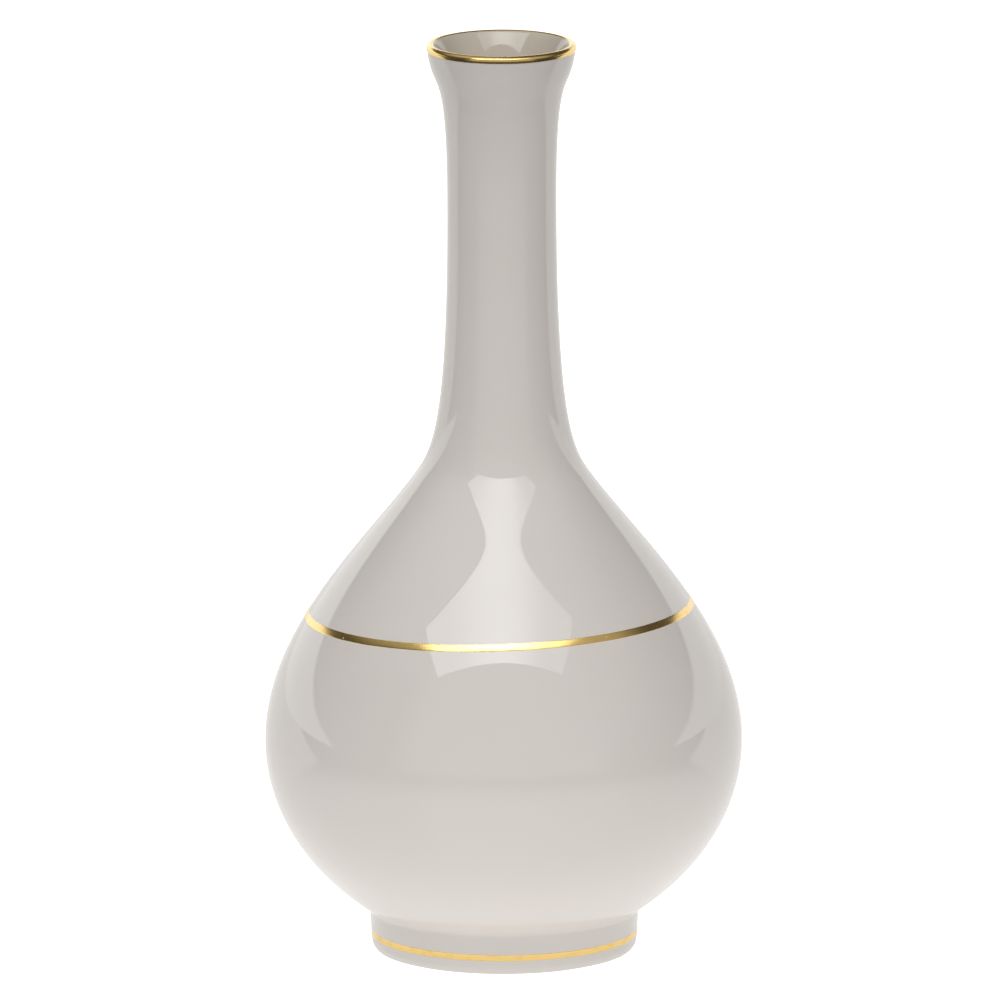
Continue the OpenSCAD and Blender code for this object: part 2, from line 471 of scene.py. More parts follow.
SHARP_EDGE = math.radians(32)
RAIL_R = 60 * MM
MERGE = 0.0005 * MM
SECTION_SEGMENTS = 192
LINE_SEGMENTS = 720
LINE_BANDS = 24
CROWN_POWER = 0.35
WAVER_SCALE = 260.0
LINE_WAVER_SCALE = 9.0


def finish_tree(tree, geometry, material):
    """Shades the mesh smooth but for sharp edges, and ends the tree."""
    angle = put(tree, "GeometryNodeInputMeshEdgeAngle").outputs["Unsigned Angle"]
    sharp = put(tree, "FunctionNodeCompare", {0: angle, 1: SHARP_EDGE},
                data_type="FLOAT", operation="GREATER_THAN").outputs[0]
    faces = put(tree, "GeometryNodeSetShadeSmooth", {"Geometry": geometry, "Shade Smooth": True},
                domain="FACE").outputs[0]
    edges = put(tree, "GeometryNodeSetShadeSmooth",
                {"Geometry": faces, "Selection": sharp, "Shade Smooth": False}, domain="EDGE").outputs[0]
    real = put(tree, "GeometryNodeRealizeInstances", {"Geometry": edges}).outputs[0]
    coated = put(tree, "GeometryNodeSetMaterial", {"Geometry": real, "Material": material}).outputs[0]
    put(tree, "NodeGroupOutput", {0: coated})


def spun_section_tree():
    """Turns a closed half section round the vase's axis, as a potter's wheel does."""
    tree = bpy.data.node_groups.new("spun_section", "GeometryNodeTree")
    group_socket(tree, "Half Section", "NodeSocketGeometry")
    group_socket(tree, "Segments", "NodeSocketInt", 264)
    group_socket(tree, "Edge Waver", "NodeSocketFloat", 0.0)
    group_socket(tree, "Waver Top", "NodeSocketFloat", 0.0)
    group_socket(tree, "Material", "NodeSocketMaterial")
    group_socket(tree, "Geometry", "NodeSocketGeometry", way="OUTPUT")
    given = put(tree, "NodeGroupInput").outputs
    calc = sums(tree)
    outline = put(tree, "GeometryNodeTransform",
                  {"Geometry": given["Half Section"], "Translation": (-RAIL_R, 0, 0),
                   "Scale": (1, -1, 1)}).outputs[0]
    rail = put(tree, "GeometryNodeCurvePrimitiveCircle",
               {"Resolution": given["Segments"], "Radius": RAIL_R}).outputs[0]
    spun = put(tree, "GeometryNodeCurveToMesh", {"Curve": rail, "Profile Curve": outline}).outputs[0]
    closed = put(tree, "GeometryNodeMergeByDistance", {"Geometry": spun, "Distance": MERGE}).outputs[0]
    place = put(tree, "GeometryNodeInputPosition").outputs[0]
    height = put(tree, "ShaderNodeSeparateXYZ", {0: place}).outputs["Z"]
    round_place = put(tree, "ShaderNodeVectorMath", {0: place, 1: (1, 1, 0)},
                      operation="MULTIPLY").outputs[0]
    stray = noise(tree, round_place, WAVER_SCALE, 2.0).outputs[0]
    below = calc("LESS_THAN", height, given["Waver Top"])
    drop = calc("MULTIPLY", calc("MULTIPLY", calc("SUBTRACT", stray, 0.5), 2.0),
                calc("MULTIPLY", below, given["Edge Waver"]))
    offset = put(tree, "ShaderNodeCombineXYZ", {"Z": drop}).outputs[0]
    brushed = put(tree, "GeometryNodeSetPosition", {"Geometry": closed, "Offset": offset}).outputs[0]
    finish_tree(tree, brushed, given["Material"])
    return tree


def painted_line_sockets(tree):
    group_socket(tree, "Geometry", "NodeSocketGeometry")
    group_socket(tree, "Surface", "NodeSocketObject")
    for name, value in (("Height", 0.06), ("Slope", 0.0), ("Width", 0.001), ("Film", 0.00005),
                        ("Waver", 0.0), ("Seed", 0.0)):
        group_socket(tree, name, "NodeSocketFloat", value)
    group_socket(tree, "Material", "NodeSocketMaterial")
    group_socket(tree, "Geometry", "NodeSocketGeometry", way="OUTPUT")


def painted_line_tree():
    """Lays a closed bead of gold film on a surface, along a level or leaning line."""
    tree = bpy.data.node_groups.new("painted_line", "GeometryNodeTree")
    painted_line_sockets(tree)
    given = put(tree, "NodeGroupInput").outputs
    calc = sums(tree)
    grid = put(tree, "GeometryNodeMeshGrid",
               {"Size X": math.tau, "Size Y": math.tau, "Vertices X": LINE_SEGMENTS + 1,
                "Vertices Y": LINE_BANDS + 1}).outputs["Mesh"]
    place = put(tree, "GeometryNodeInputPosition").outputs[0]
    spot = put(tree, "ShaderNodeSeparateXYZ", {0: place}).outputs
    turn, loop = spot["X"], spot["Y"]
    cos_turn, sin_turn = calc("COSINE", turn), calc("SINE", turn)
    across = calc("COSINE", loop)
    rise = calc("SINE", loop)
    crown = calc("MULTIPLY", calc("SIGN", rise), calc("POWER", calc("ABSOLUTE", rise), CROWN_POWER))
    ring_place = put(tree, "ShaderNodeCombineXYZ",
                     {"X": cos_turn, "Y": sin_turn, "Z": calc("SIGN", across)}).outputs[0]
    stray = put(tree, "ShaderNodeTexNoise",
                {"Vector": ring_place, "W": given["Seed"], "Scale": LINE_WAVER_SCALE, "Detail": 4.0},
                noise_dimensions="4D").outputs[0]
    stray = calc("MULTIPLY", calc("MULTIPLY", calc("SUBTRACT", stray, 0.5), 2.0), given["Waver"])
    drift = calc("MULTIPLY", across, calc("ADD", calc("MULTIPLY", given["Width"], 0.5), stray))
    lean = calc("MULTIPLY", calc("MULTIPLY", cos_turn, RAIL_R), given["Slope"])
    level = calc("ADD", given["Height"], drift)
    start = put(tree, "ShaderNodeCombineXYZ",
                {"X": calc("MULTIPLY", cos_turn, RAIL_R), "Y": calc("MULTIPLY", sin_turn, RAIL_R),
                 "Z": calc("ADD", level, lean)}).outputs[0]
    inward = put(tree, "ShaderNodeCombineXYZ",
                 {"X": calc("MULTIPLY", cos_turn, -RAIL_R), "Y": calc("MULTIPLY", sin_turn, -RAIL_R),
                  "Z": calc("MULTIPLY", lean, -1.0)}).outputs[0]
    surface = put(tree, "GeometryNodeObjectInfo", {"Object": given["Surface"]}).outputs["Geometry"]
    hit = put(tree, "GeometryNodeRaycast",
              {"Target Geometry": surface, "Source Position": start, "Ray Direction": inward,
               "Ray Length": 2 * RAIL_R}).outputs
    lift = put(tree, "ShaderNodeVectorMath",
               {0: hit["Hit Normal"], "Scale": calc("MULTIPLY", crown, given["Film"])},
               operation="SCALE").outputs[0]
    laid = put(tree, "ShaderNodeVectorMath", {0: hit["Hit Position"], 1: lift}, operation="ADD").outputs[0]
    bead = put(tree, "GeometryNodeSetPosition", {"Geometry": grid, "Position": laid}).outputs[0]
    closed = put(tree, "GeometryNodeMergeByDistance", {"Geometry": bead, "Distance": MERGE}).outputs[0]
    finish_tree(tree, closed, given["Material"])
    return tree


def apply_tree(base, tree, values, name):
    """Runs a geometry tree on an object and keeps the result as a plain mesh object."""
    modifier = base.modifiers.new(tree.name, "NODES")
    modifier.node_group = tree
    for item in tree.interface.items_tree:
        if item.in_out == "INPUT" and item.name in values:
            modifier[item.identifier] = values[item.name]
    bpy.context.view_layer.update()
    seen = base.evaluated_get(bpy.context.evaluated_depsgraph_get())
    mesh = bpy.data.meshes.new_from_object(seen)
    bpy.data.objects.remove(base)
    mesh.name = name
    piece = bpy.data.objects.new(name, mesh)
    bpy.context.scene.collection.objects.link(piece)
    outward(mesh)
    return piece


def outward(mesh):
    """Turns a closed mesh's faces outwards."""
    work = bmesh.new()
    work.from_mesh(mesh)
    bmesh.ops.remove_doubles(work, verts=work.verts, dist=MERGE)
    bmesh.ops.recalc_face_normals(work, faces=work.faces)
    if work.calc_volume(signed=True) < 0:
        bmesh.ops.reverse_faces(work, faces=work.faces)
    work.to_mesh(mesh)
    work.free()


def outline_object(name, outline):
    """A closed half section as a curve object: radius along X, height along Y."""
    data = bpy.data.curves.new(name, "CURVE")
    data.dimensions = "3D"
    spline = data.splines.new("POLY")
    spline.points.add(len(outline) - 1)
    for point, place in zip(spline.points, outline):
        point.co = (place.x, place.y, 0, 1)
    spline.use_cyclic_u = True
    made = bpy.data.objects.new(name, data)
    bpy.context.scene.collection.objects.link(made)
    return made


def spun(name, outline, material, segments, waver=0.0, waver_top=0.0):
    """A closed piece turned from a half section."""
    values = {"Segments": segments, "Edge Waver": waver, "Waver Top": waver_top, "Material": material}
    tree = bpy.data.node_groups.get("spun_section") or spun_section_tree()
    return apply_tree(outline_object(name + "_outline", outline), tree, values, name)


def painted(name, surface, values):
    """A gold line laid on a surface."""
    base = bpy.data.objects.new(name + "_base", bpy.data.meshes.new(name + "_base"))
    bpy.context.scene.collection.objects.link(base)
    tree = bpy.data.node_groups.get("painted_line") or painted_line_tree()
    return apply_tree(base, tree, {"Surface": surface, **values}, name)


def settle(piece, node):
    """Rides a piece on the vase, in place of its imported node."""
    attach(piece, BODY)
    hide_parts(node)


# ---------------------------------------------------------------- shared surface effects

IRON = (0.32, 0.28, 0.22)
IRON_DEPTH = 0.6
SPECK_RIM, SPECK_CORE = 0.05, 0.02
STREAKS_ROUND = 3.0
STREAKS_UP = 7000.0
STREAK_ROUGHNESS = 0.16
THIN_START, THIN_END = 0.52, 0.68
PIN_SHARE = 0.12
PIN_REACH = 0.22
PIN_DEPTH = 0.8


def kiln_mottle_group():
    """Slow cloudiness of a fired body, and rare iron specks."""
    tree = bpy.data.node_groups.new("kiln_mottle", "ShaderNodeTree")
    group_socket(tree, "Clear", "NodeSocketColor", (0.8, 0.8, 0.8, 1))
    group_socket(tree, "Cloud", "NodeSocketColor", (0.75, 0.75, 0.75, 1))
    group_socket(tree, "Cloud Scale", "NodeSocketFloat", 30.0)
    group_socket(tree, "Speck Share", "NodeSocketFloat", 0.05)
    group_socket(tree, "Color", "NodeSocketColor", way="OUTPUT")
    group_socket(tree, "Specks", "NodeSocketFloat", way="OUTPUT")
    given = put(tree, "NodeGroupInput").outputs
    calc = sums(tree)
    place = put(tree, "ShaderNodeTexCoord").outputs["Object"]
    cloud = noise(tree, place, given["Cloud Scale"], 3.0)
    cloud.inputs["Roughness"].default_value = 0.55
    cloud = ramp(tree, cloud.outputs[0], 0.35, 0.65)
    base = mix_colour(tree, cloud, given["Clear"], given["Cloud"])
    cells = put(tree, "ShaderNodeTexVoronoi", {"Vector": place, "Scale": 140.0}).outputs
    chosen = put(tree, "ShaderNodeSeparateColor", {0: cells["Color"]}).outputs[0]
    rare = calc("LESS_THAN", chosen, given["Speck Share"])
    near = put(tree, "ShaderNodeMapRange", {0: cells["Distance"], 1: SPECK_RIM, 2: SPECK_CORE}).outputs[0]
    specks = calc("MULTIPLY", rare, near)
    iron = mix_colour(tree, calc("MULTIPLY", specks, IRON_DEPTH), base, rgba(IRON))
    put(tree, "NodeGroupOutput", {"Color": iron, "Specks": specks})
    return tree


def ramp(tree, value, start, end):
    """0 before start and 1 past end, with a smooth step between."""
    return put(tree, "ShaderNodeMapRange", {0: value, 1: start, 2: end},
               interpolation_type="SMOOTHSTEP").outputs[0]


def mix_colour(tree, share, a, b):
    """A mix of two colours."""
    made = tree.nodes.new("ShaderNodeMix")
    made.data_type = "RGBA"
    for socket, value in ((made.inputs[0], share), (made.inputs[6], a), (made.inputs[7], b)):
        if isinstance(value, bpy.types.NodeSocket):
            tree.links.new(value, socket)
        else:
            socket.default_value = value
    return made.outputs[2]


def glaze_ripple_group():
    """The faint unevenness of a poured and fired glaze, as a height and a roughness."""
    tree = bpy.data.node_groups.new("glaze_ripple", "ShaderNodeTree")
    group_socket(tree, "Smooth Roughness", "NodeSocketFloat", 0.05)
    group_socket(tree, "Dull Roughness", "NodeSocketFloat", 0.09)
    group_socket(tree, "Height", "NodeSocketFloat", way="OUTPUT")
    group_socket(tree, "Roughness", "NodeSocketFloat", way="OUTPUT")
    given = put(tree, "NodeGroupInput").outputs
    calc = sums(tree)
    place = put(tree, "ShaderNodeTexCoord").outputs["Object"]
    broad = noise(tree, place, 55.0, 1.0).outputs[0]
    fine = noise(tree, place, 420.0, 2.0).outputs[0]
    height = calc("ADD", broad, calc("MULTIPLY", fine, 0.05))
    dull = noise(tree, place, 90.0, 4.0).outputs[0]
    share = put(tree, "ShaderNodeMapRange",
                {0: dull, 1: 0.4, 2: 0.7, 3: given["Smooth Roughness"],
                 4: given["Dull Roughness"]}).outputs[0]
    put(tree, "NodeGroupOutput", {"Height": height, "Roughness": share})
    return tree


def brushed_gold_group():
    """Fired gold laid with a brush on a turning wheel: long streaks, thin spots and pin holes."""
    tree = bpy.data.node_groups.new("brushed_gold", "ShaderNodeTree")
    group_socket(tree, "Gold", "NodeSocketColor", (0.87, 0.62, 0.22, 1))
    group_socket(tree, "Thin Gold", "NodeSocketColor", (0.6, 0.36, 0.12, 1))
    group_socket(tree, "Wear", "NodeSocketFloat", 0.4)
    group_socket(tree, "Polish", "NodeSocketFloat", 0.2)
    for name, kind in (("Color", "NodeSocketColor"), ("Roughness", "NodeSocketFloat"),
                       ("Height", "NodeSocketFloat"), ("Cover", "NodeSocketFloat")):
        group_socket(tree, name, kind, way="OUTPUT")
    given = put(tree, "NodeGroupInput").outputs
    calc = sums(tree)
    place = put(tree, "ShaderNodeTexCoord").outputs["Object"]
    spot = put(tree, "ShaderNodeSeparateXYZ", {0: place}).outputs
    turn = calc("ARCTAN2", spot["Y"], spot["X"])
    streak_place = put(tree, "ShaderNodeCombineXYZ",
                       {"X": calc("MULTIPLY", calc("COSINE", turn), STREAKS_ROUND),
                        "Y": calc("MULTIPLY", calc("SINE", turn), STREAKS_ROUND),
                        "Z": calc("MULTIPLY", spot["Z"], STREAKS_UP)}).outputs[0]
    streaks = noise(tree, streak_place, 1.0, 3.0).outputs[0]
    patches = noise(tree, place, 420.0, 4.0).outputs[0]
    thin = put(tree, "ShaderNodeMapRange",
               {0: calc("MULTIPLY", calc("ADD", streaks, patches), 0.5),
                1: THIN_START, 2: THIN_END}).outputs[0]
    thin = calc("MULTIPLY", thin, given["Wear"])
    colour = mix_colour(tree, thin, given["Gold"], given["Thin Gold"])
    rough = calc("ADD", given["Polish"], calc("MULTIPLY", streaks, STREAK_ROUGHNESS))
    holes = put(tree, "ShaderNodeTexVoronoi", {"Vector": place, "Scale": 900.0}).outputs
    picked = put(tree, "ShaderNodeSeparateColor", {0: holes["Color"]}).outputs[0]
    pin = calc("MULTIPLY", calc("LESS_THAN", picked, calc("MULTIPLY", given["Wear"], PIN_SHARE)),
               calc("LESS_THAN", holes["Distance"], PIN_REACH))
    cover = calc("SUBTRACT", 1.0, calc("MULTIPLY", pin, PIN_DEPTH))
    put(tree, "NodeGroupOutput", {"Color": colour, "Roughness": rough, "Height": streaks, "Cover": cover})
    return tree


def shared(name, make):
    """A shared group, made the first time that it is asked for."""
    return bpy.data.node_groups.get(name) or make()


def place_group(tree, name, make, inputs):
    """Places a shared group in a material with its own values."""
    made = tree.nodes.new("ShaderNodeGroup")
    made.node_tree = shared(name, make)
    for key, value in inputs.items():
        made.inputs[key].default_value = value
    return made.outputs


def rgba(colour, darker=1.0):
    """A colour with alpha, darkened if asked."""
    return (*[c * darker for c in colour], 1.0)


def new_material(name):
    """An empty node material with its Principled shader."""
    material = bpy.data.materials.new(name)
    material.use_nodes = True
    tree = material.node_tree
    tree.nodes.clear()
    shader = tree.nodes.new("ShaderNodeBsdfPrincipled")
    put(tree, "ShaderNodeOutputMaterial", {"Surface": shader.outputs[0]})
    return material, tree, shader


def wire(tree, shader, sources):
    """Links each source to the shader's input of that name."""
    for name, source in sources.items():
        tree.links.new(source, shader.inputs[name])


CLOUDY = (0.985, 0.985, 0.98)
GLAZE_IOR = 1.52


def clear_glaze(name, colour):
    """Clear glaze over warm white porcelain."""
    material, tree, shader = new_material(name)
    cloudy = [c * share for c, share in zip(colour, CLOUDY)]
    mottle = place_group(tree, "kiln_mottle", kiln_mottle_group,
                         {"Clear": rgba(colour), "Cloud": rgba(cloudy),
                          "Cloud Scale": 38.0, "Speck Share": 0.015})
    ripple = place_group(tree, "glaze_ripple", glaze_ripple_group,
                         {"Smooth Roughness": 0.02, "Dull Roughness": 0.045})
    bump = put(tree, "ShaderNodeBump", {"Height": ripple["Height"], "Strength": 0.2, "Distance": 0.00012})
    wire(tree, shader, {"Base Color": mottle["Color"], "Roughness": ripple["Roughness"],
                        "Normal": bump.outputs[0]})
    shader.inputs["IOR"].default_value = GLAZE_IOR
    return material


def porcelain_bisque(colours):
    """Bare fired porcelain, with a fine dry grain."""
    material, tree, shader = new_material("porcelain_bisque")
    mottle = place_group(tree, "kiln_mottle", kiln_mottle_group,
                         {"Clear": rgba(colours.bisque), "Cloud": rgba(colours.bisque, 0.9),
                          "Cloud Scale": 120.0, "Speck Share": 0.05})
    place = put(tree, "ShaderNodeTexCoord").outputs["Object"]
    grain = noise(tree, place, 2600.0, 3.0).outputs[0]
    rough = put(tree, "ShaderNodeMapRange", {0: grain, 3: 0.62, 4: 0.85}).outputs[0]
    bump = put(tree, "ShaderNodeBump", {"Height": grain, "Strength": 0.4, "Distance": 0.00006})
    wire(tree, shader, {"Base Color": mottle["Color"], "Roughness": rough, "Normal": bump.outputs[0]})
    return material


def fired_gold(name, colours, wear, polish):
    """Brushed and fired gold."""
    material, tree, shader = new_material(name)
    gold = place_group(tree, "brushed_gold", brushed_gold_group,
                       {"Gold": rgba(colours.gold), "Thin Gold": rgba(colours.gold, 0.62),
                        "Wear": wear, "Polish": polish})
    bump = put(tree, "ShaderNodeBump", {"Height": gold["Height"], "Strength": 0.25, "Distance": 0.00002})
    wire(tree, shader, {"Base Color": gold["Color"], "Roughness": gold["Roughness"],
                        "Metallic": gold["Cover"], "Normal": bump.outputs[0]})
    return material


def finish_of(name, make, *values):
    """A finish, made the first time that it is asked for."""
    return bpy.data.materials.get(name) or make(*values)


# ---------------------------------------------------------------- operators

RIM_WEAR, RIM_POLISH = 0.35, 0.12
LINE_WEAR, LINE_POLISH = 0.5, 0.13
WAVER_BAND = 0.2 * MM
SHOULDER_SEED, FOOT_SEED = 3.0, 11.0


class VASE_OT_sections(bpy.types.Operator):
    """Turn the five porcelain sections"""

    bl_idname = "vase.sections"
    bl_label = "Porcelain Sections"

    def execute(self, context):
        scene = context.scene
        half = HalfSection(scene.vase_sizes)
        belly_seam = bottom_of("shoulder_dome")
        neck_seam = bottom_of("neck_tube")
        mouth_seam = bottom_of("mouth_flare")
        outlines = {
            "foot_ring": half.foot(),
            "belly_bowl": half.bowl(belly_seam),
            "shoulder_dome": half.section(belly_seam, neck_seam),
            "neck_tube": half.section(neck_seam, mouth_seam),
            "mouth_flare": half.section(mouth_seam, scene.vase_sizes.height),
        }
        bisque = finish_of("porcelain_bisque", porcelain_bisque, scene.vase_colours)
        for node, outline in outlines.items():
            piece = spun("porcelain_" + node, outline, bisque, SECTION_SEGMENTS)
            settle(piece, node)
        return {"FINISHED"}


class VASE_OT_glaze(bpy.types.Operator):
    """Turn the three coats of glaze"""

    bl_idname = "vase.glaze"
    bl_label = "Glaze Coats"

    def execute(self, context):
        scene = context.scene
        half = HalfSection(scene.vase_sizes)
        colours = scene.vase_colours
        outside = between(half.outside, BARE_HEIGHT, scene.vase_sizes.height)
        underside = between(half.underside, BARE_HEIGHT, scene.vase_sizes.height)
        outer = finish_of("glaze_outer", clear_glaze, "glaze_outer", colours.glaze)
        # The lining finish carries painted shade: its colour is darkened for the hollow inside the vase.
        lining = finish_of("glaze_lining", clear_glaze, "glaze_lining", colours.lining)
        coats = (
            ("glaze_outside", "outer_glaze", half.coat(outside), outer),
            ("glaze_lining", "inner_glaze", half.coat(half.inside), lining),
            ("glaze_foot_well", "foot_well_glaze", half.coat(underside), outer),
        )
        for name, node, outline, finish in coats:
            piece = spun(name, outline, finish, scene.vase_sizes.segments)
            settle(piece, node)
        return {"FINISHED"}


class VASE_OT_rim_gilding(bpy.types.Operator):
    """Gild the lip"""

    bl_idname = "vase.rim_gilding"
    bl_label = "Rim Gilding"

    def execute(self, context):
        scene = context.scene
        sizes = scene.vase_sizes
        half = HalfSection(sizes)
        low = sizes.height - scene.vase_gold.rim_depth
        lip_line = between(half.flare, low, sizes.height) + arc(
            half.lip, half.lip_r, sizes.flare_angle - math.pi / 2, GILDING_ANGLE, 2 * EDGE_BANDS)
        gold = finish_of("gold_rim", fired_gold, "gold_rim", scene.vase_colours, RIM_WEAR, RIM_POLISH)
        piece = spun("gilding_rim", half.film(lip_line), gold, LINE_SEGMENTS,
                     scene.vase_gold.waver, low + WAVER_BAND)
        settle(piece, "rim_gilding")
        return {"FINISHED"}


class VASE_OT_gold_lines(bpy.types.Operator):
    """Paint the gold lines round the shoulder and the foot"""

    bl_idname = "vase.gold_lines"
    bl_label = "Gold Lines"

    def execute(self, context):
        scene = context.scene
        gold = scene.vase_gold
        surface = bpy.data.objects["glaze_outside"]
        finish = finish_of("gold_lines", fired_gold, "gold_lines", scene.vase_colours,
                           LINE_WEAR, LINE_POLISH)
        lines = (
            ("gold_line_shoulder", "shoulder_gold_line", gold.shoulder_height,
             math.tan(gold.shoulder_lean), gold.shoulder_width, SHOULDER_SEED),
            ("gold_line_foot", "foot_gold_line", gold.foot_height, 0.0, gold.foot_width, FOOT_SEED),
        )
        for name, node, height, slope, width, seed in lines:
            piece = painted(name, surface, {
                "Height": height, "Slope": slope, "Width": width, "Film": GOLD_T,
                "Waver": gold.waver, "Seed": seed, "Material": finish})
            settle(piece, node)
        return {"FINISHED"}


class VASE_OT_studio(bpy.types.Operator):
    """Set up the floor, the lights and the camera"""

    bl_idname = "vase.studio"
    bl_label = "Studio"

    def execute(self, context):
        make_floor()
        make_surroundings(context.scene)
        make_front_softbox()
        make_camera(context.scene)
        return {"FINISHED"}


# ---------------------------------------------------------------- studio

# A pair is where a smooth step starts and ends: a reach from the vase in metres, or a sine or
# cosine of a direction. Colours above 1 are brighter than white.
FLOOR_R = 14.0
FLOOR_SIDES = 96
FLOOR_BASE = (0.9, 0.9, 0.9)
FLOOR_ROUGHNESS = 0.8
FLOOR_EMISSION = 0.95
# The table, the far floor and the foot shade below are painted light: in reflections the floor glows with
# them, standing in for the light and the contact shadow on a white table.
TABLE_HALF_WIDTH = 0.26
TABLE_SPREAD = 2.0
TABLE_EDGE = 0.05
TABLE_NEAR = (0.29, 0.10)
FLOOR_FAR = (0.42, 0.75)
FLOOR_FAR_PAINTED_LIGHT = 0.52
FRONT_SIDES = (math.cos(math.radians(57)), math.cos(math.radians(43)))
PAINTED_TABLE_LIGHT = (1.0, 0.985, 0.96)
FOOT_SHADE = 0.85
SHADE_START, SHADE_END = 0.020, 0.040
ROOM = (0.075, 0.072, 0.068)
ROOM_FLOOR = (0.05, 0.048, 0.045)
BACKDROP = (1.12, 1.12, 1.11)
BACKDROP_LEFT = (1.32, 1.32, 1.31)
BACKDROP_SLOPE = 0.445
BACKDROP_EDGE = 0.02
BACKDROP_SIDES = (0.3, -0.3)
RIGHT_GLOW = dict(turn=math.radians(60), rise=math.radians(42), core=math.radians(5),
                  reach=math.radians(38), colour=(0.45, 0.44, 0.42))
FRONT_LIGHT = (0.49, 0.485, 0.475)
FRONT_TOP = (math.sin(math.radians(63)), math.sin(math.radians(53)))
LEFT_GLOW = dict(turn=math.radians(-95), rise=math.radians(66), core=math.radians(10),
                 reach=math.radians(42), colour=(0.50, 0.50, 0.485))
SEEN_WHITE = (1.2, 1.2, 1.2)
SOFTBOX_HEIGHT = 0.76
SOFTBOX_WIDTH, SOFTBOX_DEPTH = 1.05, 0.352
SOFTBOX_PLACE = (-0.035, -0.474)
SOFTBOX_RADIANCE = 4.4
SOFTBOX_LEFT, SOFTBOX_RIGHT = 0.58, 0.34
SOFTBOX_LEFT_FADE = (-0.42, -0.05)
SOFTBOX_RIGHT_FADE = (0.36, 0.02)
SOFTBOX_COLOUR = (1.0, 0.995, 0.985)
AIM_ASIDE = -0.5 * MM
AIM_UP = -0.6 * MM


def in_front(tree, calc, parts):
    """1 towards the front and 0 towards the sides and the back."""
    level = calc("SQRT", calc("MULTIPLY_ADD", parts["X"], parts["X"], calc("POWER", parts["Y"], 2.0)))
    forward = calc("MULTIPLY", parts["Y"], -1.0)
    return ramp(tree, calc("DIVIDE", forward, level), *FRONT_SIDES)


def painted_light_share(tree, calc, place, reach):
    """Share of painted light on the floor: 1 on the lit white table, which widens towards the backdrop,
    less on the far floor, else 0.
    """
    parts = put(tree, "ShaderNodeSeparateXYZ", {0: place}).outputs
    widening = calc("MULTIPLY", parts["Y"], TABLE_SPREAD)
    past_side = calc("SUBTRACT", calc("ABSOLUTE", parts["X"]), calc("ADD", widening, TABLE_HALF_WIDTH))
    behind = calc("MULTIPLY", ramp(tree, past_side, TABLE_EDGE, -TABLE_EDGE),
                  ramp(tree, parts["Y"], 0.0, TABLE_EDGE))
    far = calc("MULTIPLY", ramp(tree, reach, *FLOOR_FAR), in_front(tree, calc, parts))
    near = calc("MAXIMUM", ramp(tree, reach, *TABLE_NEAR), behind)
    return calc("MAXIMUM", near, calc("MULTIPLY", far, FLOOR_FAR_PAINTED_LIGHT))


def make_floor():
    """A pale floor: plain white to the eye; to the glaze and the gold it glows with painted light, a lit
    white table with a painted shadow round the foot.
    """
    mesh = bpy.data.meshes.new("studio_floor")
    turns = [math.tau * i / FLOOR_SIDES for i in range(FLOOR_SIDES)]
    ring = [(FLOOR_R * math.cos(a), FLOOR_R * math.sin(a), 0) for a in turns]
    mesh.from_pydata(ring, [], [list(range(FLOOR_SIDES))])
    floor = bpy.data.objects.new("studio_floor", mesh)
    bpy.context.scene.collection.objects.link(floor)
    material, tree, shader = new_material("studio_floor")
    calc = sums(tree)
    shader.inputs["Base Color"].default_value = rgba(FLOOR_BASE)
    shader.inputs["Roughness"].default_value = FLOOR_ROUGHNESS
    shader.inputs["Emission Color"].default_value = (1, 1, 1, 1)
    shader.inputs["Emission Strength"].default_value = FLOOR_EMISSION
    place = put(tree, "ShaderNodeTexCoord").outputs["Object"]
    reach = put(tree, "ShaderNodeVectorMath", {0: place}, operation="LENGTH").outputs["Value"]
    # Painted shadow: the table's glow is darkened close to the foot.
    shade = mix_colour(tree, ramp(tree, reach, SHADE_START, SHADE_END),
                       rgba(PAINTED_TABLE_LIGHT, FOOT_SHADE), rgba(PAINTED_TABLE_LIGHT))
    tone = mix_colour(tree, painted_light_share(tree, calc, place, reach), rgba(ROOM_FLOOR), shade)
    # Painted light: every ray but the camera's sees the floor glow with this tone.
    table = put(tree, "ShaderNodeEmission", {"Color": tone, "Strength": 1.0}).outputs[0]
    eye = put(tree, "ShaderNodeLightPath").outputs["Is Camera Ray"]
    both = put(tree, "ShaderNodeMixShader", {0: eye, 1: table, 2: shader.outputs[0]}).outputs[0]
    tree.links.new(both, tree.nodes["Material Output"].inputs["Surface"])
    mesh.materials.append(material)


def glow(tree, direction, dark, turn, rise, core, reach, colour):
    """The colour `dark` with a soft patch of light, `turn` to the right of the front and `rise` up."""
    way = (math.sin(turn) * math.cos(rise), -math.cos(turn) * math.cos(rise), math.sin(rise))
    nearness = put(tree, "ShaderNodeVectorMath", {0: direction, 1: way},
                   operation="DOT_PRODUCT").outputs["Value"]
    return mix_colour(tree, ramp(tree, nearness, math.cos(reach), math.cos(core)), dark, rgba(colour))


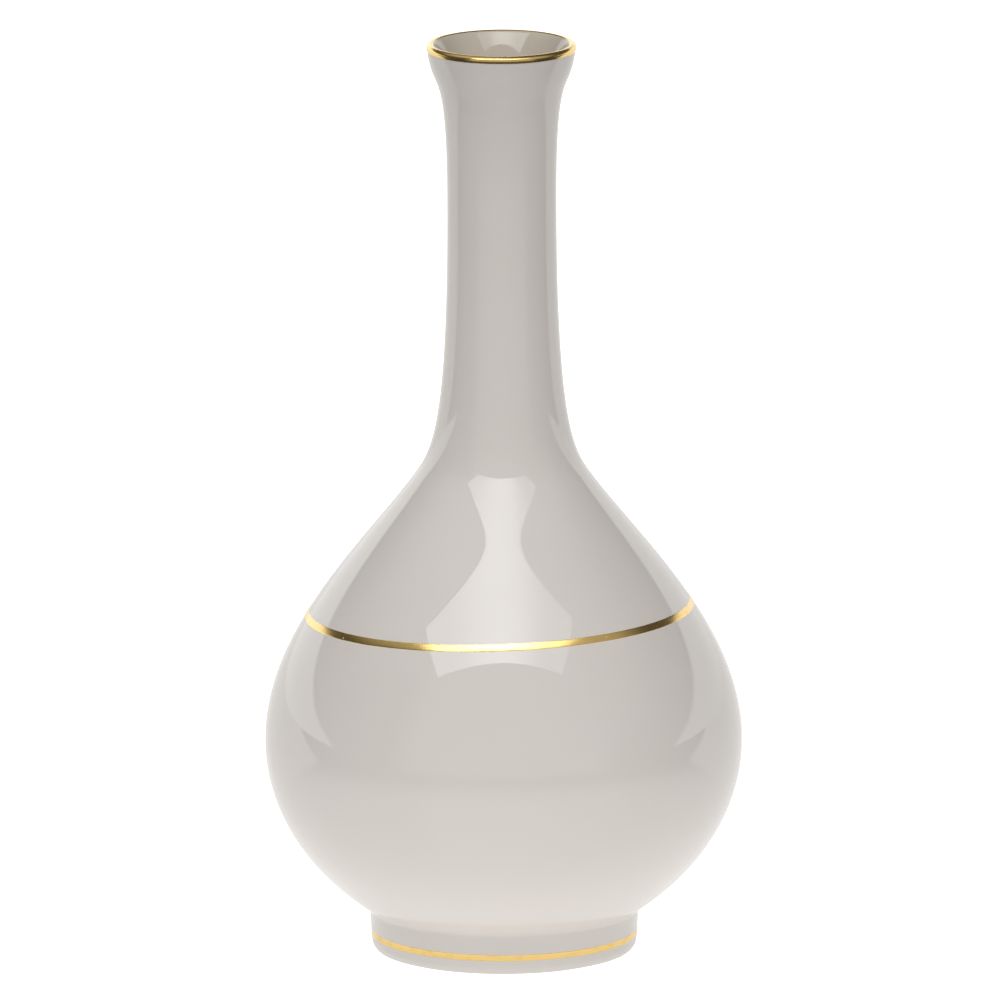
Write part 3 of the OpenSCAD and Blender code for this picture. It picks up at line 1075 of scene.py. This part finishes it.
def make_surroundings(scene):
    """A dim room with a white backdrop behind the table, and plain white to the eye."""
    world = bpy.data.worlds.new("studio")
    scene.world = world
    world.use_nodes = True
    tree = world.node_tree
    tree.nodes.clear()
    calc = sums(tree)
    direction = put(tree, "ShaderNodeTexCoord").outputs["Generated"]
    parts = put(tree, "ShaderNodeSeparateXYZ", {0: direction}).outputs
    below_top = calc("SUBTRACT", calc("MULTIPLY", parts["Y"], BACKDROP_SLOPE), parts["Z"])
    behind = calc("MULTIPLY", ramp(tree, below_top, -BACKDROP_EDGE, BACKDROP_EDGE),
                  calc("GREATER_THAN", parts["Y"], 0.0))
    right_lit = glow(tree, direction, rgba(ROOM), **RIGHT_GLOW)
    left_lit = glow(tree, direction, right_lit, **LEFT_GLOW)
    front = calc("MULTIPLY", in_front(tree, calc, parts), ramp(tree, parts["Z"], *FRONT_TOP))
    room = mix_colour(tree, front, left_lit, rgba(FRONT_LIGHT))
    white = mix_colour(tree, ramp(tree, parts["X"], *BACKDROP_SIDES), rgba(BACKDROP), rgba(BACKDROP_LEFT))
    tone = mix_colour(tree, behind, room, white)
    eye = put(tree, "ShaderNodeLightPath").outputs["Is Camera Ray"]
    seen = mix_colour(tree, eye, tone, rgba(SEEN_WHITE))
    light = put(tree, "ShaderNodeBackground", {"Color": seen, "Strength": 1.0}).outputs[0]
    put(tree, "ShaderNodeOutputWorld", {"Surface": light})


def softened(tree, calc, aside, fade, end):
    """Share of the softbox's light across its width: `end` at one end, rising to 1 over `fade`."""
    return calc("MULTIPLY_ADD", ramp(tree, aside, *fade), 1 - end, end)


def make_front_softbox():
    """A wide softbox over the front, brightest along its middle."""
    lamp = bpy.data.lights.new("front_softbox", "AREA")
    lamp.shape = "RECTANGLE"
    lamp.size, lamp.size_y = SOFTBOX_WIDTH, SOFTBOX_DEPTH
    lamp.energy = SOFTBOX_RADIANCE * math.pi * SOFTBOX_WIDTH * SOFTBOX_DEPTH
    lamp.use_nodes = True
    tree = lamp.node_tree
    tree.nodes.clear()
    calc = sums(tree)
    place = put(tree, "ShaderNodeNewGeometry").outputs["Position"]
    aside = put(tree, "ShaderNodeSeparateXYZ", {0: place}).outputs["X"]
    from_left = softened(tree, calc, aside, SOFTBOX_LEFT_FADE, SOFTBOX_LEFT)
    from_right = softened(tree, calc, aside, SOFTBOX_RIGHT_FADE, SOFTBOX_RIGHT)
    strength = calc("MULTIPLY", from_left, from_right)
    light = put(tree, "ShaderNodeEmission", {"Color": rgba(SOFTBOX_COLOUR), "Strength": strength})
    put(tree, "ShaderNodeOutputLight", {"Surface": light.outputs[0]})
    softbox = bpy.data.objects.new("front_softbox", lamp)
    softbox.location = (*SOFTBOX_PLACE, SOFTBOX_HEIGHT)
    softbox.visible_camera = False
    bpy.context.scene.collection.objects.link(softbox)


def make_camera(scene):
    """A long lens, a little above the vase and straight in front of it."""
    studio = scene.vase_studio
    lens = bpy.data.cameras.new("camera")
    camera = bpy.data.objects.new("camera", lens)
    scene.collection.objects.link(camera)
    centre = (CAD_BOX[0] + CAD_BOX[1]) / 2
    aim = centre + Vector((AIM_ASIDE, 0, AIM_UP))
    back = Vector((0, -math.cos(studio.camera_rise), math.sin(studio.camera_rise)))
    camera.location = aim + studio.camera_distance * back
    turn = back.to_track_quat("Z", "Y") @ Quaternion((0, 0, 1), studio.camera_roll)
    camera.rotation_euler = turn.to_euler()
    half_width = studio.picture_width * scene.vase_sizes.height / 2
    lens.lens = lens.sensor_width / 2 * studio.camera_distance / half_width
    lens.clip_start, lens.clip_end = 0.1, 100.0
    scene.camera = camera
    scene.view_settings.view_transform = "Standard"


# ---------------------------------------------------------------- panel and registration

class VASE_PT_panel(bpy.types.Panel):
    """Buttons and sizes of the vase"""

    bl_label = "Porcelain Vase"
    bl_idname = "VASE_PT_panel"
    bl_space_type = "VIEW_3D"
    bl_region_type = "UI"
    bl_category = "Vase"

    def draw(self, context):
        for operator in OPERATORS:
            self.layout.operator(operator.bl_idname)
        for group in (context.scene.vase_sizes, context.scene.vase_gold,
                      context.scene.vase_colours, context.scene.vase_studio):
            box = self.layout.box()
            for name in group.bl_rna.properties.keys():
                if name not in ("rna_type", "name"):
                    box.prop(group, name)


OPERATORS = (VASE_OT_sections, VASE_OT_glaze, VASE_OT_rim_gilding, VASE_OT_gold_lines,
             VASE_OT_studio)
GROUPS = {"vase_sizes": VaseSizes, "vase_gold": GoldSizes,
          "vase_colours": VaseColours, "vase_studio": StudioSizes}


def register():
    """Registers the classes and hangs the settings on the scene."""
    for item in (*GROUPS.values(), *OPERATORS, VASE_PT_panel):
        bpy.utils.register_class(item)
    for name, group in GROUPS.items():
        setattr(bpy.types.Scene, name, PointerProperty(type=group))


def unregister():
    """Takes the settings and the classes away again."""
    for name in GROUPS:
        delattr(bpy.types.Scene, name)
    for item in reversed((*GROUPS.values(), *OPERATORS, VASE_PT_panel)):
        bpy.utils.unregister_class(item)


def main():
    """Builds the studio and the vase."""
    register()
    bpy.ops.vase.studio()
    bpy.ops.vase.sections()
    bpy.ops.vase.glaze()
    bpy.ops.vase.rim_gilding()
    bpy.ops.vase.gold_lines()


if __name__ == "__main__":
    main()
